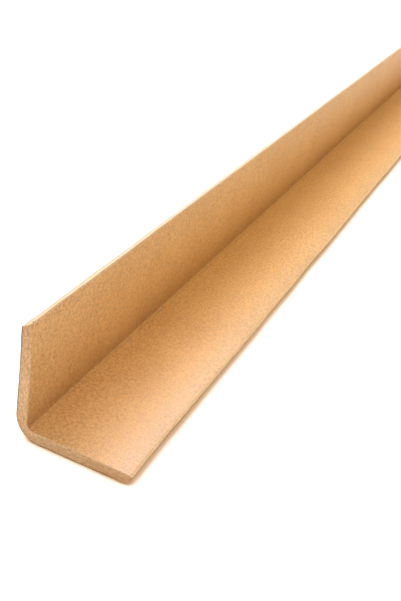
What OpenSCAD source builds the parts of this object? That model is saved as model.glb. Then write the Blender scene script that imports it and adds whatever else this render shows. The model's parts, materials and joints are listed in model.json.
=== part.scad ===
// Pallet edge protector: one length of solid laminated board, folded to a right angle.
// Millimetres. X runs along the flat leg, Y along the length, Z up the upright leg.
// The part lies on its flat leg, with the origin under the middle of its box.

/* [Legs] */
// Height of the upright leg, from the outside of the fold to its tip
upright_h = 50; // [30:0.5:100]
// Width of the flat leg, from the outside of the fold to its tip
flat_w = 47; // [30:0.5:100]
// Thickness of the laminated board
board_t = 4.7; // [3.5:0.1:8]

/* [Length] */
// Length between the two sawn ends
cut_length = 800; // [100:10:2400]

/* [Fold] */
// Radius of the crease inside the fold
fold_r_in = 0.8; // [0.3:0.1:4]
// Radius of the bend outside the fold, where the plies are pressed thinner than on the legs
fold_r_out = 10; // [6:0.1:11]

/* [Tips] */
// Thickness of the inner liner, which alone reaches the end of each leg
liner_t = 0.7; // [0.3:0.1:1.5]
// How far the outermost ply stops short of the liner at the upright leg's tip
upright_step = 4; // [1:0.1:7]
// How far the liner stands above the ply next to it at the upright leg's tip
upright_lip = 1.2; // [0:0.1:2.5]
// Radius of the round under the flat leg's tip
flat_tip_r = 4; // [1:0.1:7]
// How far the liner reaches past that round
flat_lip = 0.4; // [0.1:0.1:2]

/* [Hidden] */
$fn = 96;
// Thickness of the plies under the liner
ply_t = board_t - liner_t;
// The round under the flat tip takes no more than those plies
flat_round = min(flat_tip_r, ply_t);
// How far a cutting shape reaches past the faces that it cuts
past = 1;

// What a round of radius r takes off a square corner at the origin
module corner_waste(r) {
    difference() {
        translate([-past, -past]) square(r + past);
        translate([r, r]) circle(r);
    }
}

// Everything inside the outer faces of the two legs
module outside_of_fold() {
    difference() {
        square([flat_w, upright_h]);
        corner_waste(fold_r_out);
    }
}

// The space between the legs, where the edge of the load sits
module inside_of_fold() {
    translate([board_t, board_t])
        difference() {
            square([flat_w, upright_h]);
            corner_waste(fold_r_in);
        }
}

// The plies end in a slope at the upright tip, because the outer ones go the longer way round the bend
module upright_tip_waste() {
    slope = (upright_step - upright_lip) / ply_t;
    polygon([
        [-past, upright_h - upright_step - past * slope],
        [ply_t, upright_h - upright_lip],
        [ply_t, upright_h + past],
        [-past, upright_h + past],
    ]);
}

// The plies end in a quarter round under the flat tip, and the liner runs out above it as a thin lip
module flat_tip_waste() {
    translate([flat_w - flat_lip, 0]) {
        mirror([1, 0]) corner_waste(flat_round);
        translate([0, -past]) square([flat_lip + past, ply_t + past]);
    }
}

module board_section() {
    difference() {
        outside_of_fold();
        inside_of_fold();
        upright_tip_waste();
        flat_tip_waste();
    }
}

module angle_board() {
    color("burlywood")
        translate([-flat_w / 2, cut_length / 2, 0])
            rotate([90, 0, 0])
                linear_extrude(cut_length)
                    board_section();
}

angle_board();
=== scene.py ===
import json
import bpy
import numpy as np
from mathutils import Matrix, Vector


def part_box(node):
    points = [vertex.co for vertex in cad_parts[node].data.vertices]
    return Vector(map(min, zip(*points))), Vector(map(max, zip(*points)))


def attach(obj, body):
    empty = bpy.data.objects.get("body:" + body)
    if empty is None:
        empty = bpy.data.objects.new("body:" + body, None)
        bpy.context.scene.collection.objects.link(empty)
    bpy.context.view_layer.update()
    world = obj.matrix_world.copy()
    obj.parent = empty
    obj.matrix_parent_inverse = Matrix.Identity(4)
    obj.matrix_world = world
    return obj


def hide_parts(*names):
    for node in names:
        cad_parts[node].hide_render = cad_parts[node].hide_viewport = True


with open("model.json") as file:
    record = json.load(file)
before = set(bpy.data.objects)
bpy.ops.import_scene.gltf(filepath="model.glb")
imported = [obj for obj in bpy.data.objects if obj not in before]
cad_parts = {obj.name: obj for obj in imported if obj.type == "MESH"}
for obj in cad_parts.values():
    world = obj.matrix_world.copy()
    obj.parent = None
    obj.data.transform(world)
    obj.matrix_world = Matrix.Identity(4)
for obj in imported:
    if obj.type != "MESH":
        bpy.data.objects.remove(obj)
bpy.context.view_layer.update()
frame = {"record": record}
mm = 0.001
node = "angle_board"
low, high = (np.array(c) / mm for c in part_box(node))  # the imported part's corners, in millimetres
print("frame loaded, part box in mm", low.round(2), high.round(2))


# The place of one of the mounts in the part's record, in millimetres
def facePlace(name):
    return np.array(next(m["pos_m"] for m in frame["record"]["mounts"] if m["name"] == name)) / mm


# The folded board. All sizes in millimetres, in a section whose corner lies under the fold's outside
board = {
    "height": high[2] - low[2],
    "width": high[0] - low[0],
    "thick": facePlace("load_face_flat")[2],
    "insideR": 0.8,
    "outsideR": 10.0,
    "linerT": 0.7,
    "uprightStep": 4.0,     # the outermost ply stops this far under the upright tip
    "uprightLip": 1.2,      # the liner stands this far above its neighbour ply
    "uprightSlant": 0.05,   # the liner's own cut edge leans and drops by this little
    "uprightDrop": 0.02,
    "uprightSoften": 0.10,  # the corners of a tip are rounded over about this much
    "flatTipR": 4.0,
    "flatTipFull": 2.2,     # 2 is a quarter circle, more is squarer
    "flatLip": 0.4,
    "flatSlant": 0.03,      # the same at the flat tip
    "flatDrop": 0.04,
    "flatSoften": 0.09,
    "edgeRun": 1.5,         # the liner dips over this last stretch of each leg
    "flatDip": 0.5,
    "uprightDip": 0.16,
    "groove": 0.06,         # a faint line where the dip begins
    "grooveHalf": 0.22,
    "plies": 9,
}

# How finely the section and the length are divided: millimetres between points, or counts of points
steps = {
    "tipFine": 0.10,
    "faceCoarse": 1.9,
    "foldCount": 22,
    "throughCount": 28,
    "roundCount": 24,
    "tipReach": 7.0,        # lines through the board bend to a tip's own line over this last stretch
    "endFine": 0.1,
    "lengthCoarse": 4.2,
    "grow": 1.2,
    "sharpDegrees": 50,     # edges that turn by more than this are shaded sharp
}

# Small unevenness of a pressed and sawn board in millimetres, and the shares of its wear, of painted shade
# and of painted sheen
wear = {
    "faceWave": 0.07,
    "calmBelow": 3.0,       # the face waves fade out below this height
    "tipWander": 0.11,
    "tipDeep": 4.5,         # wander and wear of a tip reach this far in
    "tipMargin": 1.0,       # points this far above a leg still belong to it
    "wearAndHighlightSteep": 3.0,       # how quickly the wear and painted highlight of the upright tip set in
    "plyRagged": 0.20,
    "raggedRun": 0.3,
    "crossFiner": 2,        # unevenness is this much finer across the plies than along them
    "plyDrift": 0.02,
    "endSaw": 0.07,
    "endPly": 0.06,
    "ridgeTop": 0.1,
    "endBreak": 0.14,       # the edges of a sawn end are broken
    "breakShare": 0.6,
    "breakRun": 0.12,
    "cornerDrop": 0.75,
    "cornerRun": 4.0,
    "creaseChip": 1.0,      # the near end is broken back this far at the inside of the fold
    "farChipShare": 0.6,
    "creaseChipR": 1.1,
    "chipPale": 0.7,
    "chipPaleR": 0.9,
    "endBow": 0.25,
    "endGive": 6.0,         # the rows behind an end give way with it over this stretch
    "creaseShadeUpright": 0.8,   # painted crease shade on the upright leg
    "creaseFade": 11.0,
    "creaseCurve": 1.3,
    "creaseShadeLine": 0.6,      # painted shade line in the crease on the flat leg
    "creaseFlat": 0.9,
    "shadeBandShare": 0.24,
    "shadeBandReach": 7.0,       # the band of painted shade on the flat leg is darkest this far from the crease
    "fadeRun": 90.0,        # paler towards both ends
    "sheenTintStart": 35.0,       # painted sheen tint, greyer and less red, from here out to the flat tip
    "sheenTintFull": 44.5,
}

# Shortest and longest waves of each unevenness, in millimetres
waves = {
    "face": (18, 140),
    "flatTip": (9, 160),
    "uprightTip": (7, 150),
    "ragged": (1.6, 12),
    "endBow": (30, 120),
    "plyDrift": (6, 40),
    "saw": (1.5, 14),
}

# Seeds of the random waves
seeds = {
    "face": 5,
    "flatTip": 11,
    "uprightTip": 12,
    "ragged": 21,
    "nearBow": 31,
    "farBow": 33,
    "nearSaw": 41,
    "farSaw": 61,
}


# Distances from 0 to length whose steps grow from fine to coarse by a fixed ratio
def growing(length, fine, coarse, grow):
    enough = 2000
    gaps = np.minimum(fine * grow ** np.arange(enough), coarse)
    marks = np.concatenate([[0.0], np.cumsum(gaps)])
    marks = marks[: np.searchsorted(marks, length) + 1]
    return marks * length / marks[-1]


# The same, fine at both ends and coarse in the middle
def growingBoth(length, fine, coarse, grow):
    half = growing(length / 2, fine, coarse, grow)
    return np.concatenate([half, (length - half)[-2::-1]])


# Points on a circle between two angles in degrees
def arc(centre, radius, start, end, count):
    turn = np.radians(np.linspace(start, end, count))
    return np.stack([centre[0] + radius * np.cos(turn), centre[1] + radius * np.sin(turn)], -1)


# Length along a line of points, from 0 at the first
def runOf(line):
    return np.concatenate([[0.0], np.cumsum(np.linalg.norm(np.diff(line, axis=0), axis=1))])


# Corner points joined by straight runs, read off at even lengths and averaged with a bell curve,
# which rounds the corners. Past each end the line goes on as itself, turned half round that end
def softLine(corners, count, soften):
    fineCount = 600
    bellHalf = 60
    corners = np.array(corners, float)
    run = runOf(corners)
    dense = np.linspace(0, run[-1], fineCount)
    line = np.stack([np.interp(dense, run, corners[:, k]) for k in (0, 1)], -1)
    reach = np.arange(-bellHalf, bellHalf + 1) * run[-1] / fineCount
    bell = np.exp(-0.5 * (reach / soften) ** 2)
    before = 2 * line[0] - line[bellHalf:0:-1]
    after = 2 * line[-1] - line[-2:-2 - bellHalf:-1]
    padded = np.concatenate([before, line, after])
    line = np.stack([np.convolve(padded[:, k], bell / bell.sum(), "valid") for k in (0, 1)], -1)
    take = np.linspace(0, fineCount - 1, count).round().astype(int)
    return line[take]


# A sum of cosines in random directions over two lengths, longer waves stronger, with a spread of about one
def ripple(a, b, shortest, longest, seed, count=22):
    draw = np.random.default_rng(seed)
    waveLengths = np.exp(draw.uniform(np.log(shortest), np.log(longest), count))
    turn = draw.uniform(0, 2 * np.pi, count)
    phase = draw.uniform(0, 2 * np.pi, count)
    weight = np.sqrt(waveLengths / waveLengths.sum())
    angle = (a[..., None] * np.cos(turn) + b[..., None] * np.sin(turn)) * 2 * np.pi / waveLengths + phase
    return (np.cos(angle) * weight).sum(-1) * np.sqrt(2)


# The section as a grid: along the board from flat tip to upright tip, and through it from inside to outside.
# Each row is a straight run between the inner and outer lines; near a tip it bends to that tip's own line
def sectionGrid(b, s):
    t, w, h = b["thick"], b["width"], b["height"]
    flatRun = w - t - b["insideR"]
    upRun = h - t - b["insideR"]
    flatMarks = growing(flatRun, s["tipFine"], s["faceCoarse"], s["grow"])
    upMarks = growing(upRun, s["tipFine"], s["faceCoarse"], s["grow"])
    fold = s["foldCount"]

    inner = np.concatenate([
        np.stack([w - flatMarks, np.full_like(flatMarks, t)], -1),
        arc((t + b["insideR"],) * 2, b["insideR"], 270, 180, fold)[1:-1],
        np.stack([np.full_like(upMarks, t), h - upMarks], -1)[::-1],
    ])
    outerStart = w - b["flatLip"] - b["flatTipR"]
    outerTop = h - b["uprightStep"]
    outer = np.concatenate([
        np.stack([outerStart - flatMarks / flatRun * (outerStart - b["outsideR"]), 0 * flatMarks], -1),
        arc((b["outsideR"],) * 2, b["outsideR"], 270, 180, fold)[1:-1],
        np.stack([0 * upMarks, outerTop - upMarks / upRun * (outerTop - b["outsideR"])], -1)[::-1],
    ])

    # the liner dips towards each tip as a parabola, behind a faint groove on the flat leg
    fromFlat = np.concatenate([flatMarks, np.full(len(inner) - len(flatMarks), flatRun)])
    fromUp = np.concatenate([np.full(len(inner) - len(upMarks), upRun), upMarks[::-1]])
    inner[:, 1] -= b["flatDip"] * np.clip(1 - fromFlat / b["edgeRun"], 0, 1) ** 2
    inner[:, 0] -= b["uprightDip"] * np.clip(1 - fromUp / b["edgeRun"], 0, 1) ** 2
    inner[:, 1] -= b["groove"] * np.exp(-((fromFlat - b["edgeRun"]) / b["grooveHalf"]) ** 2)

    plyT = t - b["linerT"]
    through = s["throughCount"]
    tipX = w - b["flatLip"]
    # the plies under the flat tip end in a full round, between a circle and a square corner
    roundR = min(b["flatTipR"], plyT)
    turn = np.linspace(0, np.pi / 2, s["roundCount"])
    full = 2 / b["flatTipFull"]
    swellX = tipX - roundR + roundR * np.cos(turn) ** full
    swellZ = roundR - roundR * np.sin(turn) ** full
    flatCorners = [inner[0], (w - b["flatSlant"], plyT), (tipX, plyT - b["flatDrop"])]
    flatCorners += [*np.stack([swellX, swellZ], -1)]
    upCorners = [inner[-1], (plyT + b["uprightSlant"], h - b["uprightDrop"])]
    upCorners += [(plyT, h - b["uprightLip"]), outer[-1]]
    flatTip = softLine(flatCorners, through, b["flatSoften"])
    upTip = softLine(upCorners, through, b["uprightSoften"])
    flatTip[0], flatTip[-1] = inner[0], outer[0]
    upTip[0], upTip[-1] = inner[-1], outer[-1]

    v = np.linspace(0, 1, through)[None, :, None]
    grid = inner[:, None] * (1 - v) + outer[:, None] * v
    nearFlat = np.clip(1 - fromFlat / s["tipReach"], 0, 1)[:, None, None]
    nearUp = np.clip(1 - fromUp / s["tipReach"], 0, 1)[:, None, None]
    grid = grid + nearFlat * (flatTip[None] - grid[:1]) + nearUp * (upTip[None] - grid[-1:])
    return grid, fromFlat, fromUp


grid, fromFlat, fromUp = sectionGrid(board, steps)
across, through = grid.shape[:2]
count = across * through
length = high[1] - low[1]
rows = growingBoth(length, steps["endFine"], steps["lengthCoarse"], steps["grow"])
fromFar = length - rows
print("section grid", across, "by", through, "rows", len(rows))

# The section's rim as one loop: inside face, upright tip, outside face, flat tip
cells = np.arange(count).reshape(across, through)
rim = np.concatenate([cells[:, 0], cells[-1, 1:], cells[-2::-1, -1], cells[0, -2:0:-1]])
flatPoints = grid.reshape(-1, 2)
runMm = np.repeat(runOf(grid[:, through // 2]), through)
depthMm = np.tile(np.linspace(0, board["thick"], through), across)

# Outward normal of the rim: its direction turned by a quarter
rimXz = flatPoints[rim]
rimWay = np.roll(rimXz, -1, 0) - np.roll(rimXz, 1, 0)
rimNormal = np.stack([rimWay[:, 1], -rimWay[:, 0]], -1)
rimNormal /= np.linalg.norm(rimNormal, axis=1, keepdims=True)
turnSign = np.sign((rimXz[:, 0] * np.roll(rimXz[:, 1], -1) - np.roll(rimXz[:, 0], -1) * rimXz[:, 1]).sum())
rimNormal *= turnSign
rimLength = runOf(rimXz)


# Shares of a point's place in a tip: 1 at the tip and 0 a few millimetres in, on that tip's own leg
def tipShares(points):
    x, z = points[..., 0], points[..., 1]
    legTop = board["thick"] + wear["tipMargin"]
    flat = np.clip(1 - (board["width"] - x) / wear["tipDeep"], 0, 1) * (z < legTop)
    up = np.clip(1 - (board["height"] - z) / wear["tipDeep"], 0, 1) * (x < legTop)
    return flat, up


# Distance of section points from the inside corner of the fold
def creaseDistance(points):
    return np.hypot(points[..., 0] - board["thick"], points[..., 1] - board["thick"])


# Every rim point at every row: the section, plus face waves along its normal, plus the wander of the
# two tips. The face that the part lies on stays flat
def sweptRim(y):
    yy = y[:, None] + 0 * rimLength[None]
    ll = rimLength[None] + 0 * y[:, None]
    xz = np.repeat(rimXz[None], len(y), 0)
    calm = np.clip(rimXz[:, 1] / wear["calmBelow"], 0, 1)
    wave = wear["faceWave"] * ripple(ll, yy, *waves["face"], seeds["face"]) * calm
    xz = xz + wave[..., None] * rimNormal
    flat, up = tipShares(rimXz)
    wanderFlat = wear["tipWander"] * ripple(0 * y, y, *waves["flatTip"], seeds["flatTip"])
    wanderUp = wear["tipWander"] * ripple(0 * y, y, *waves["uprightTip"], seeds["uprightTip"])
    xz[..., 0] += flat * (wanderFlat - wear["tipWander"])[:, None]
    xz[..., 1] += up * (wanderUp - wear["tipWander"])[:, None]
    # the bare plies at the upright tip end unevenly, and lower at the near corner
    bare = up * np.clip((board["thick"] - board["linerT"] - rimXz[:, 0]) / wear["raggedRun"], 0, 1)
    ragged = wear["plyRagged"] * ripple(ll * wear["crossFiner"], yy, *waves["ragged"], seeds["ragged"])
    corner = wear["cornerDrop"] * np.exp(-((y - y.min()) / wear["cornerRun"]) ** 2)[:, None]
    xz[..., 1] += bare * (ragged - corner)
    return np.stack([xz[..., 0], yy, xz[..., 1]], -1)


# How far a sawn end stands back from square: a slow bow, and a chip where the crease runs out
def endBack(points, seed, chip):
    bow = wear["endBow"] * (1 + ripple(points[..., 0], points[..., 1], *waves["endBow"], seed))
    return np.maximum(bow, 0) + chip * np.exp(-(creaseDistance(points) / wear["creaseChipR"]) ** 2)


# A sawn end: ridges that follow the plies and wander, plus the saw's own unevenness. Positive leans outwards
def endRelief(seed):
    layer = depthMm / board["thick"] + wear["plyDrift"] * ripple(runMm, depthMm, *waves["plyDrift"], seed)
    ply = np.cos(2 * np.pi * board["plies"] * layer)
    saw = ripple(runMm, depthMm * wear["crossFiner"], *waves["saw"], seed + 1)
    return wear["endPly"] * ply + wear["endSaw"] * saw


# A sawn end as points: the section inside the swept rim, moved along the length by its relief
def endGrid(y, outward, seed, edge, back):
    points = flatPoints.copy()
    points[rim] = edge[:, [0, 2]]
    lift = endRelief(seed)
    lift[rim] -= wear["endBreak"] * wear["breakShare"]
    stand = np.minimum(lift, wear["ridgeTop"]) - back
    return np.stack([points[:, 0], y + outward * stand, points[:, 1]], -1)


print("sweeping the rim")
rimRows = sweptRim(rows)
nearBack = endBack(flatPoints, seeds["nearBow"], wear["creaseChip"])
farBack = endBack(flatPoints, seeds["farBow"], wear["creaseChip"] * wear["farChipShare"])
# the rows behind an end give way with it, less and less over the next few millimetres
rimRows[..., 1] += nearBack[rim] * np.exp(-rows / wear["endGive"])[:, None]
rimRows[..., 1] -= farBack[rim] * np.exp(-fromFar / wear["endGive"])[:, None]
inset = wear["endBreak"] * np.exp(-rows / wear["breakRun"])
inset = inset + wear["endBreak"] * np.exp(-fromFar / wear["breakRun"])
shrink = inset[:, None, None] * rimNormal[None] * wear["breakShare"]
rimRows[..., 0] -= shrink[..., 0]
rimRows[..., 2] -= shrink[..., 1]
rimRows[..., 2] = np.maximum(rimRows[..., 2], 0)
nearEnd = endGrid(rows[0], -1, seeds["nearSaw"], rimRows[0], nearBack)
farEnd = endGrid(rows[-1], 1, seeds["farSaw"], rimRows[-1], farBack)

middle = rimRows[1:-1].reshape(-1, 3)
points = np.concatenate([nearEnd, farEnd, middle])
points = (points + low) * mm
rowIds = np.concatenate([
    rim[None],
    2 * count + np.arange(len(middle)).reshape(len(rows) - 2, len(rim)),
    rim[None] + count,
])
nextIds = np.roll(rowIds, -1, 1)
sides = np.stack([rowIds[:-1], nextIds[:-1], nextIds[1:], rowIds[1:]], -1).reshape(-1, 4)
cap = np.stack([cells[:-1, :-1], cells[1:, :-1], cells[1:, 1:], cells[:-1, 1:]], -1).reshape(-1, 4)
faces = np.concatenate([sides, cap[:, ::-1], cap + count])

# Faces point outwards: the sum of each face's cone from the origin is the volume, and its sign tells
corner = points[faces]
volume = np.einsum("ij,ij->i", corner[:, 0], np.cross(corner[:, 1], corner[:, 2])).sum()
volume += np.einsum("ij,ij->i", corner[:, 0], np.cross(corner[:, 2], corner[:, 3])).sum()
if volume < 0:
    faces = faces[:, ::-1]

scene = bpy.context.scene


# A new object in the scene that holds a mesh, a lamp or a camera
def putIn(name, data):
    made = bpy.data.objects.new(name, data)
    scene.collection.objects.link(made)
    return made


mesh = bpy.data.meshes.new("folded_board")
mesh.from_pydata(points.tolist(), [], faces.tolist())
mesh.update()
mesh.shade_smooth()
mesh.set_sharp_from_angle(angle=np.radians(steps["sharpDegrees"]))
piece = putIn("folded_board", mesh)
print("board mesh", len(points), "points", len(faces), "faces, volume", abs(volume) / 6)

# Which finish each face wears: liner paper on the faces, bare plies at the sawn ends and on the tips
rimCut = np.zeros(len(rim), bool)
rimCut[across:across + through - 2] = True
rimCut[2 * across + through - 2:] = True
finishIds = np.concatenate([np.tile(rimCut, len(rows) - 1), np.ones(2 * len(cap), bool)]).astype(np.int32)
mesh.polygons.foreach_set("material_index", finishIds)


# A value at each point for the finishes to read: the same at both ends, then the rim of every row between
def pointValue(name, ends, rimValue):
    values = np.concatenate([ends, ends, np.broadcast_to(rimValue, (len(rows) - 2, len(rim))).ravel()])
    mesh.attributes.new(name, "FLOAT", "POINT").data.foreach_set("value", values.astype(np.float32))


# Where each point lies in the plies: length along the section, and depth
pointValue("plyRun", runMm * mm, runMm[rim] * mm)
pointValue("plyDepth", depthMm * mm, depthMm[rim] * mm)
flatShare, upShare = tipShares(rimXz)

# Pale wear with painted highlight: the upright tip, the last stretch of each liner, and round the chip at an
# end
wearAndHighlight = np.minimum(upShare * wear["wearAndHighlightSteep"], 1)
wearAndHighlight[:across] = np.clip(1 - np.minimum(fromFlat, fromUp) / board["edgeRun"], 0, 1)
roundChip = wear["chipPale"] * np.exp(-(creaseDistance(flatPoints) / wear["chipPaleR"]) ** 2)
pointValue("wearAndHighlight", roundChip, wearAndHighlight)

# Painted shade on the flat tip, under its liner
pointValue("tipShade", np.zeros(count), flatShare)

# Painted crease shade: dark up the upright from the crease, a thin line beside it on the flat leg, then a
# broad band of painted shade
rise = rimXz[:across, 1] - board["thick"]
reach = rimXz[:across, 0] - board["thick"]
upFade = np.exp(-(np.maximum(rise, 0) / wear["creaseFade"]) ** wear["creaseCurve"])
shadeBand = np.maximum(reach, 0) / wear["shadeBandReach"]
onFlat = wear["creaseShadeLine"] * np.exp(-(reach / wear["creaseFlat"]) ** 2)
onFlat = onFlat + wear["shadeBandShare"] * shadeBand * np.exp(1 - shadeBand)
creaseShade = np.zeros(len(rim))
creaseShade[:across] = np.where(rise > reach, wear["creaseShadeUpright"] * upFade, onFlat)
pointValue("creaseShade", np.zeros(count), creaseShade)

# Painted sheen tint towards the flat tip, and paler towards both ends
sheenTintRun = wear["sheenTintFull"] - wear["sheenTintStart"]
sheenTint = np.zeros(len(rim))
sheenTint[:across] = np.clip((rimXz[:across, 0] - wear["sheenTintStart"]) / sheenTintRun, 0, 1)
pointValue("sheenTint", np.zeros(count), sheenTint)
fromEnd = np.minimum(rows, fromFar)[1:-1, None]
pointValue("endPaling", np.ones(count), np.exp(-fromEnd / wear["fadeRun"]))


# A shader value in a sum: each operator adds the Math node for it
class Wire:
    def __init__(self, finish, socket):
        self.finish, self.socket = finish, socket

    def math(self, operation, a, b):
        return self.finish.add("ShaderNodeMath", {"operation": operation}, {0: a, 1: b})

    def __add__(self, other):
        return self.math("ADD", self, other)

    def __sub__(self, other):
        return self.math("SUBTRACT", self, other)

    def __rsub__(self, other):
        return self.math("SUBTRACT", other, self)

    def __mul__(self, other):
        return self.math("MULTIPLY", self, other)

    __radd__ = __add__
    __rmul__ = __mul__

    def atLeast(self, other):
        return self.math("MAXIMUM", self, other)

    def out(self, name):
        return Wire(self.finish, self.socket.node.outputs[name])

    # 0 up to start and 1 from end on, with an eased slope between
    def ramp(self, start, end):
        sockets = {"Value": self, "From Min": start, "From Max": end}
        return self.finish.add("ShaderNodeMapRange", {"interpolation_type": "SMOOTHSTEP"}, sockets)


# A material under construction: add() makes any node from its type, its settings,
# and the values or links of its sockets
class Finish:
    def __init__(self, name=None, tree=None):
        if name:
            self.material = bpy.data.materials.new(name)
            self.material.use_nodes = True
            tree = self.material.node_tree
            tree.nodes.clear()
        self.tree = tree

    def add(self, kind, settings, sockets, output=0):
        made = self.tree.nodes.new(kind)
        for name, value in settings.items():
            setattr(made, name, value)
        for key, value in sockets.items():
            if isinstance(value, Wire):
                self.tree.links.new(value.socket, made.inputs[key])
            else:
                made.inputs[key].default_value = value
        return Wire(self, made.outputs[output])

    # the Mix node keeps its colour sockets behind those of its other data types
    def mix(self, share, a, b, blend="MIX"):
        settings = {"data_type": "RGBA", "blend_type": blend}
        return self.add("ShaderNodeMix", settings, {0: share, 6: a, 7: b}, 2)

    def place(self):
        return self.add("ShaderNodeTexCoord", {}, {}, "Object")

    def value(self, name):
        return self.add("ShaderNodeAttribute", {"attribute_name": name}, {}, "Fac")

    def stretched(self, place, stretch, turn=(0, 0, 0)):
        return self.add("ShaderNodeMapping", {}, {"Vector": place, "Scale": stretch, "Rotation": turn})

    # size is the width of a typical spot in millimetres
    def noise(self, place, size, detail=2.0, rough=0.5, twist=0.0):
        sockets = {"Vector": place, "Scale": 1 / (size * mm), "Detail": detail}
        sockets.update({"Roughness": rough, "Distortion": twist})
        return self.add("ShaderNodeTexNoise", {}, sockets)

    def bump(self, height, depth):
        return self.add("ShaderNodeBump", {}, {"Height": height, "Distance": depth * mm, "Strength": 1.0})

    # 1 for what the camera sees, straight or in a mirror or through glass
    def shown(self):
        path = self.add("ShaderNodeLightPath", {}, {}, "Is Camera Ray")
        return path.atLeast(path.out("Is Glossy Ray")).atLeast(path.out("Is Transmission Ray"))

    def done(self, shader, output="ShaderNodeOutputMaterial"):
        self.tree.links.new(shader.socket, self.tree.nodes.new(output).inputs["Surface"])


# A colour given as it looks on screen, in the linear values that shaders take
def rgb(red, green, blue):
    srgb = np.array([red, green, blue]) / 255
    linear = np.where(srgb <= 0.04045, srgb / 12.92, ((srgb + 0.055) / 1.055) ** 2.4)
    return (*linear.tolist(), 1.0)


white = (1, 1, 1, 1)
noiseMiddle = 0.5

# Brown kraft paper: cloudy stock, mottled by flocs, with pale and dark fibres, a few specks and a faint
# calendered sheen, plus painted crease shade, a painted sheen tint and pale wear with painted highlight.
# Sizes in millimetres
kraft = {
    "light": rgb(244, 184, 94),
    "dark": rgb(209, 147, 69),
    "paleFibre": rgb(250, 205, 128),
    "darkFibre": rgb(168, 108, 54),
    "speck": rgb(104, 64, 30),
    # painted crease shade, a darker brown along the fold
    "creaseShade": rgb(158, 104, 30),
    # pale wear at the tips, partly painted highlight
    "wearAndHighlight": rgb(250, 214, 168),
    "endPaling": (1.04, 1.12, 2.5, 1.0),     # tints that the paper is multiplied by
    # painted sheen tint: greyer and less red towards the flat tip
    "sheenTint": (0.86, 0.93, 1.25, 1.0),
    "cloudSize": 24,
    "flocSize": 1.2,
    "grainSize": 0.5,
    "fibreSize": 0.4,
    "fibreStretch": (1, 0.22, 1),
    "paleFibreTurn": (0, 0, 0.3),
    "darkFibreTurn": (0.5, 0.2, -0.7),
    "speckApart": 7,
    "flocTone": 0.50,
    "grainTone": 0.40,
    "cloudTone": 0.08,
    "toneRange": (0.41, 0.57),
    "paleFibreRange": (0.66, 0.74),
    "darkFibreRange": (0.67, 0.75),
    "speckRange": (0.03, 0.07),
    "speckChance": (0.5, 0.6),
    "paleFibreShare": 0.80,
    "darkFibreShare": 0.65,
    "creaseShadeShare": 0.60,
    "endPalingShare": 0.41,
    "wearAndHighlightShare": 0.5,
    "speckShare": 0.75,
    "roughness": 0.43,
    "flocRough": 0.55,
    "grainRough": 0.75,
    "creaseShadeRough": 0.4,
    "flocHeight": 0.6,
    "grainHeight": 0.5,
    "fibreHeight": 0.15,
    "bumpDepth": 0.16,
}


def kraftLiner(k):
    f = Finish("kraft_liner")
    place = f.place()

    def fibres(turn):
        along = f.stretched(place, k["fibreStretch"], turn)
        return f.noise(along, k["fibreSize"], detail=1, rough=0.5, twist=0.8)

    cloud = f.noise(place, k["cloudSize"], detail=2)
    floc = f.noise(place, k["flocSize"], detail=3, rough=0.7, twist=0.6)
    grain = f.noise(place, k["grainSize"], detail=2, rough=0.6, twist=0.3)
    tone = floc * k["flocTone"] + grain * k["grainTone"] + cloud * k["cloudTone"]
    colour = f.mix(tone.ramp(*k["toneRange"]), k["dark"], k["light"])
    paleFibre = fibres(k["paleFibreTurn"]).ramp(*k["paleFibreRange"])
    darkFibre = fibres(k["darkFibreTurn"]).ramp(*k["darkFibreRange"])
    colour = f.mix(paleFibre * k["paleFibreShare"], colour, k["paleFibre"])
    colour = f.mix(darkFibre * k["darkFibreShare"], colour, k["darkFibre"])
    spots = {"Vector": place, "Scale": 1 / (k["speckApart"] * mm), "Randomness": 1.0}
    cell = f.add("ShaderNodeTexVoronoi", {}, spots)
    chance = f.add("ShaderNodeSeparateColor", {}, {0: cell.out("Color")})
    speck = (1 - cell.ramp(*k["speckRange"])) * chance.ramp(*k["speckChance"])
    # painted crease shade along the fold
    creaseShade = f.value("creaseShade")
    colour = f.mix(creaseShade * k["creaseShadeShare"], colour, k["creaseShade"])
    # paler and bluer towards both ends
    colour = f.mix(f.value("endPaling") * k["endPalingShare"], colour, k["endPaling"], "MULTIPLY")
    # painted sheen tint towards the flat tip
    colour = f.mix(f.value("sheenTint"), colour, k["sheenTint"], "MULTIPLY")
    # pale wear at the tips, partly painted highlight
    colour = f.mix(f.value("wearAndHighlight") * k["wearAndHighlightShare"], colour, k["wearAndHighlight"])
    colour = f.mix(speck * k["speckShare"], colour, k["speck"])
    rough = k["roughness"] + (floc - noiseMiddle) * k["flocRough"]
    rough = rough + (grain - noiseMiddle) * k["grainRough"] + creaseShade * k["creaseShadeRough"]
    height = floc * k["flocHeight"] + grain * k["grainHeight"] + paleFibre * k["fibreHeight"]
    shader = f.add("ShaderNodeBsdfPrincipled", {}, {
        "Base Color": colour,
        "Roughness": rough,
        "Normal": f.bump(height, k["bumpDepth"]),
    })
    f.done(shader)
    return f.material


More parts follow.
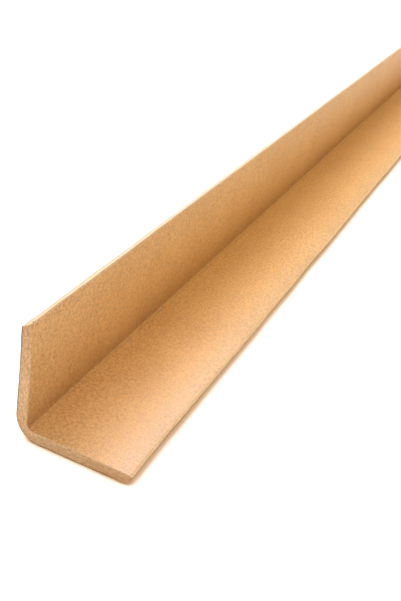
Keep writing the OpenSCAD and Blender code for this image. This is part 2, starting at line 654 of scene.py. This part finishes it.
# Bare plies: paler stock in thin layers, streaked along the layers and fuzzy. The inner liner shows as a pale
# line, partly a painted highlight along the top edge of the flat leg's end, and the outer one as a dark line
# that is also painted shade where the flat leg's end meets the floor; the upright's tip is pale with wear and
# painted highlight, and the flat leg's tip carries painted shade. Stretches are millimetres along the section
# from the flat tip
plies = {
    "light": rgb(252, 206, 154),
    "dark": rgb(210, 156, 104),
    "line": rgb(158, 110, 68),
    # pale inner liner line, on the flat leg partly painted highlight along the top edge
    "rim": rgb(250, 215, 172),
    "liner": rgb(214, 158, 96),
    # dark outer liner line, at the bottom of the flat leg's end also painted shade
    "outerLineAndShade": rgb(102, 73, 47),
    # pale wear at the upright tip, partly painted highlight
    "tip": rgb(239, 209, 174),
    # painted shade on the flat tip under its liner
    "tipShadeColour": rgb(166, 114, 68),
    "roughness": 0.85,
    "fuzzRough": 0.2,
    "bumpDepth": 0.12,
    "streakHeight": 0.5,
    "fuzzHeight": 0.6,
    "rimDepth": 0.35,
    "footDepth": 0.45,
    "streakSize": 0.32,
    "streakStretch": (0.16, 1, 1),
    "fuzzSize": 0.8,
    "wanderSize": 1.0,
    "wanderStretch": (0.05, 0.3, 1),
    "wanderTurn": 5,
    "uprightStretch": (34, 52),     # the flat leg passes into the upright here
    "paleStart": (44, 54),
    "paleStop": (62, 76),
    "paleMore": 0.045,
    "uprightLess": 0.02,
    "tipStretch": (0, 30),
    "tipLess": 0.06,
    "streakTone": 0.5,
    "fuzzTone": 0.5,
    "toneRange": (0.38, 0.62),
    "lineRange": (0.75, 1.0),
    "lineShare": 0.25,
    "rimShare": 0.5,
    "linerShare": 0.9,
    "footShare": 0.5,
    "footFuzz": 0.6,
    "wearAndHighlightShare": 0.75,
    "wearAndHighlightFuzz": 0.25,
    "tipShadeRange": (0.2, 0.7),
}


def barePlies(p, b):
    f = Finish("bare_plies")
    run, depth, wearAndHighlight, tipShade = (f.value(name) for name in ("plyRun", "plyDepth", "wearAndHighlight", "tipShade"))
    place = f.place()

    def along(stretch):
        start, end = p[stretch]
        return run.ramp(start * mm, end * mm)

    layers = f.add("ShaderNodeCombineXYZ", {}, {0: run, 1: depth, 2: 0.0})
    streaked = f.stretched(layers, p["streakStretch"])
    streak = f.noise(streaked, p["streakSize"], detail=3, rough=0.6, twist=0.3)
    fuzz = f.noise(place, p["fuzzSize"], detail=3, rough=0.65, twist=0.5)
    upright = along("uprightStretch")
    lighter = (along("paleStart") - along("paleStop")) * p["paleMore"] - upright * p["uprightLess"]
    darker = (1 - along("tipStretch")) * p["tipLess"]
    tone = streak * p["streakTone"] + fuzz * p["fuzzTone"] + lighter - darker
    colour = f.mix(tone.ramp(*p["toneRange"]), p["dark"], p["light"])
    wander = f.noise(f.stretched(layers, p["wanderStretch"]), p["wanderSize"], detail=1)
    phase = depth * (2 * np.pi * b["plies"] / (b["thick"] * mm)) + wander * p["wanderTurn"]
    sine = f.add("ShaderNodeMath", {"operation": "SINE"}, {0: phase})
    colour = f.mix(sine.ramp(*p["lineRange"]) * p["lineShare"], colour, p["line"])
    inside = 1 - depth.ramp(0.0, p["rimDepth"] * 2 * mm)
    outside = depth.ramp((b["thick"] - p["footDepth"] * 2) * mm, b["thick"] * mm)
    # pale inner liner line, on the flat leg partly painted highlight along the top edge
    colour = f.mix(inside * (1 - upright) * p["rimShare"], colour, p["rim"])
    colour = f.mix(inside * upright * p["linerShare"], colour, p["liner"])
    # dark outer liner line, also painted shade where the flat leg's end meets the floor
    colour = f.mix(outside * (p["footShare"] + fuzz * p["footFuzz"]), colour, p["outerLineAndShade"])
    # pale wear with painted highlight at the upright tip and round the chip
    colour = f.mix(wearAndHighlight * (p["wearAndHighlightShare"] + fuzz * p["wearAndHighlightFuzz"]), colour, p["tip"])
    # painted shade on the flat tip under its liner
    colour = f.mix(tipShade.ramp(*p["tipShadeRange"]), colour, p["tipShadeColour"])
    height = streak * p["streakHeight"] + fuzz * p["fuzzHeight"]
    shader = f.add("ShaderNodeBsdfPrincipled", {}, {
        "Base Color": colour,
        "Roughness": p["roughness"] + (fuzz - noiseMiddle) * p["fuzzRough"],
        "Normal": f.bump(height, p["bumpDepth"]),
    })
    f.done(shader)
    return f.material


mesh.materials.append(kraftLiner(kraft))
mesh.materials.append(barePlies(plies, board))
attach(piece, "root")
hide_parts(node)
print("finishes made")

# The floor is white to the eye. Close to the board its glow is dimmed and warmed by an occlusion test, a
# painted shadow where the board touches and painted bounce light round it, so that dark line stays, and far
# off it is plain white, so no edge shows against the room. Sizes in metres
ground = {
    "half": 6.0,
    "drop": 0.05 * mm,
    "paint": rgb(248, 248, 248),
    "glow": 0.62,
    "open": rgb(255, 249, 243),
    # painted shadow in the glow where the board touches
    "contactShadowGlow": rgb(158, 106, 24),
    # painted bounce light in the glow round the board
    "bounceGlow": rgb(255, 232, 220),
    # warmer paint near the board, painted bounce light
    "shade": rgb(248, 238, 216),
    "contactReach": 6 * mm,
    "contactRays": 16,
    "warmRange": (0.47, 0.66),      # how free the floor is of the board, as one colour passes to the next
    "openRange": (0.62, 0.95),
    "paintRange": (0.48, 0.80),
    "plainRange": (1.0, 2.5),
}


def whiteFloor(g):
    f = Finish("white_floor")
    nearby = {"Distance": g["contactReach"]}
    clear = f.add("ShaderNodeAmbientOcclusion", {"samples": g["contactRays"]}, nearby, "AO")
    paint = f.add("ShaderNodeBsdfDiffuse", {}, {"Color": g["paint"]})
    shade = f.add("ShaderNodeBsdfDiffuse", {}, {"Color": g["shade"]})
    # painted shadow close to the board, passing into painted bounce light and then white
    tint = f.mix(clear.ramp(*g["warmRange"]), g["contactShadowGlow"], g["bounceGlow"])
    tint = f.mix(clear.ramp(*g["openRange"]), tint, g["open"])
    glow = f.add("ShaderNodeEmission", {}, {"Color": tint, "Strength": g["glow"]})
    # warmer paint close to the board, painted bounce light
    near = f.add("ShaderNodeMixShader", {}, {0: clear.ramp(*g["paintRange"]), 1: shade, 2: paint})
    lit = f.add("ShaderNodeAddShader", {}, {0: near, 1: glow})
    away = f.add("ShaderNodeVectorMath", {"operation": "LENGTH"}, {0: f.place()}, "Value")
    plain = f.add("ShaderNodeEmission", {}, {"Color": white, "Strength": 1.0})
    seen = f.add("ShaderNodeMixShader", {}, {0: away.ramp(*g["plainRange"]), 1: lit, 2: plain})
    f.done(f.add("ShaderNodeMixShader", {}, {0: f.shown(), 1: paint, 2: seen}))
    return f.material


floorMesh = bpy.data.meshes.new("floor")
floorCorners = np.array([[-1, -1], [1, -1], [1, 1], [-1, 1]]) * ground["half"]
floorMesh.from_pydata([(x, y, -ground["drop"]) for x, y in floorCorners.tolist()], [], [(0, 1, 2, 3)])
floorMesh.materials.append(whiteFloor(ground))
floor = putIn("floor", floorMesh)

# Soft light: a white room, two soft boxes behind the upright that also draw the sheen on the near part of
# the flat leg, one above, and a weaker one in front for the upright's inside and the sawn end.
# Places and sizes in metres; every lamp points at the same aim
room = {"light": 0.31, "seen": 1.0, "aim": (0, -0.3, 0)}
lamps = {
    "behindLow": {"size": (0.7, 0.7), "power": 37.0, "place": (-1.115, 1.484, 1.528)},
    "behindHigh": {"size": (1.1, 1.1), "power": 26.5, "place": (-0.787, 0.920, 2.157)},
    "above": {"size": (1.0, 1.0), "power": 10.0, "place": (0.285, -0.224, 2.583)},
    "front": {"size": (1.4, 1.0), "power": 17.5, "place": (0.961, -2.154, 1.548)},
}


# The room is seen white, and lights the board less than that
def whiteRoom(r):
    made = bpy.data.worlds.new("white_room")
    made.use_nodes = True
    made.node_tree.nodes.clear()
    f = Finish(tree=made.node_tree)
    lit = f.add("ShaderNodeBackground", {}, {"Color": white, "Strength": r["light"]})
    seen = f.add("ShaderNodeBackground", {}, {"Color": white, "Strength": r["seen"]})
    f.done(f.add("ShaderNodeMixShader", {}, {0: f.shown(), 1: lit, 2: seen}), "ShaderNodeOutputWorld")
    return made


scene.world = whiteRoom(room)


# Axes and place of a lamp or camera as one matrix
def standing(side, up, back, place):
    turn = np.eye(4)
    turn[:3] = np.stack([side, up, back, place], -1)
    return Matrix(turn.tolist())


# Something that looks from one point to another: its back points away from the aim, and its side is level
def lookFrom(place, aim):
    back = np.array(place, float) - np.array(aim, float)
    back /= np.linalg.norm(back)
    side = np.cross((0, 0, 1), back)
    side /= np.linalg.norm(side)
    return standing(side, np.cross(back, side), back, place)


for name, lamp in lamps.items():
    light = bpy.data.lights.new(name, "AREA")
    light.shape = "RECTANGLE"
    light.size, light.size_y = lamp["size"]
    light.energy = lamp["power"]
    putIn(name, light).matrix_world = lookFrom(lamp["place"], room["aim"])

# The camera stands in front of the near end, looks down along the length and leans to one side.
# Its place and lens are in millimetres, its turns in degrees
camera = {
    "place": (107.94, -606.61, 205.88),
    "turnedLeft": 19.222,
    "lookingDown": 30.011,
    "lean": 10.643,
    "lens": 52.31,
    "sensor": 36,
}


def photoCamera(c):
    left, down, lean = np.radians([c["turnedLeft"], c["lookingDown"], c["lean"]])
    ahead = np.array([-np.sin(left) * np.cos(down), np.cos(left) * np.cos(down), -np.sin(down)])
    level = np.array([np.cos(left), np.sin(left), 0])
    upright = np.cross(level, ahead)
    side = np.cos(lean) * level + np.sin(lean) * upright
    up = np.cos(lean) * upright - np.sin(lean) * level
    data = bpy.data.cameras.new("photo_camera")
    data.lens = c["lens"]
    data.sensor_width = c["sensor"]
    made = putIn("photo_camera", data)
    made.matrix_world = standing(side, up, -ahead, np.array(c["place"]) * mm)
    return made


scene.camera = photoCamera(camera)
scene.view_settings.view_transform = "Standard"
print("stage, lamps and camera set")
